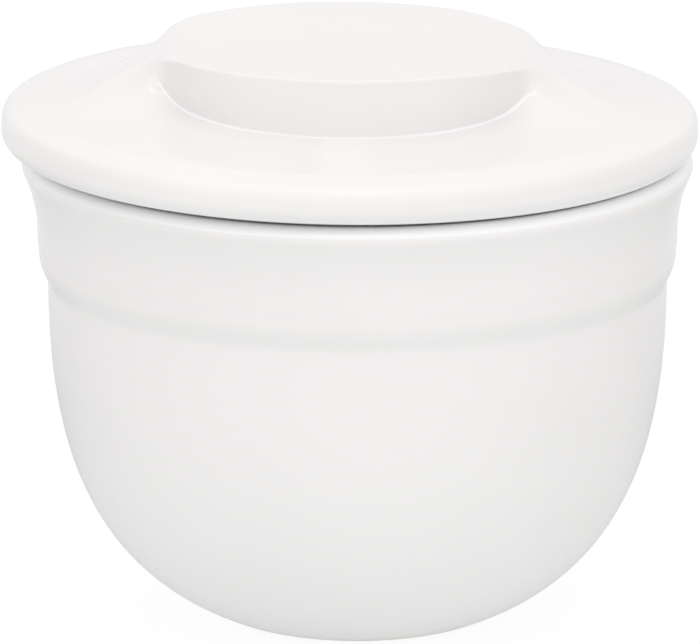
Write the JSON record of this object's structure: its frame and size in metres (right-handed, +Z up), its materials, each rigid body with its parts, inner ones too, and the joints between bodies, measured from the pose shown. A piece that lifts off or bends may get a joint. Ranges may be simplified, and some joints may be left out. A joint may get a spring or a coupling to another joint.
{
  "type": "butter crock",
  "caption": "Round stoneware butter crock with a collared bowl, and an overhanging lid with a ramped grip that carries an open bell down inside the pot.",
  "frame": {"origin": "centre of the pot's foot ring, on the surface it stands on", "axes": "+Z up along the pot's axis, -Y to the front finger recess, +X to the right-hand ramp of the handle"},
  "size_m": [0.1202, 0.1202, 0.1014],
  "materials": {
    "pot_glaze": "glossy white glaze on stoneware, with a bare foot ring",
    "lid_glaze": "glossy white glaze on stoneware",
    "bell_glaze": "glossy white glaze on stoneware, wiped thin at the mouth"
  },
  "bodies": {
    "crock": {"crock_pot": "pot_glaze"},
    "lid_body": {"lid": "lid_glaze", "butter_bell": "bell_glaze"}
  },
  "joints": [
    {"name": "lid_lift", "type": "slide", "parent": "crock", "child": "lid_body", "axis": [0, 0, 1], "range_m": [0, 0.07]}
  ]
}
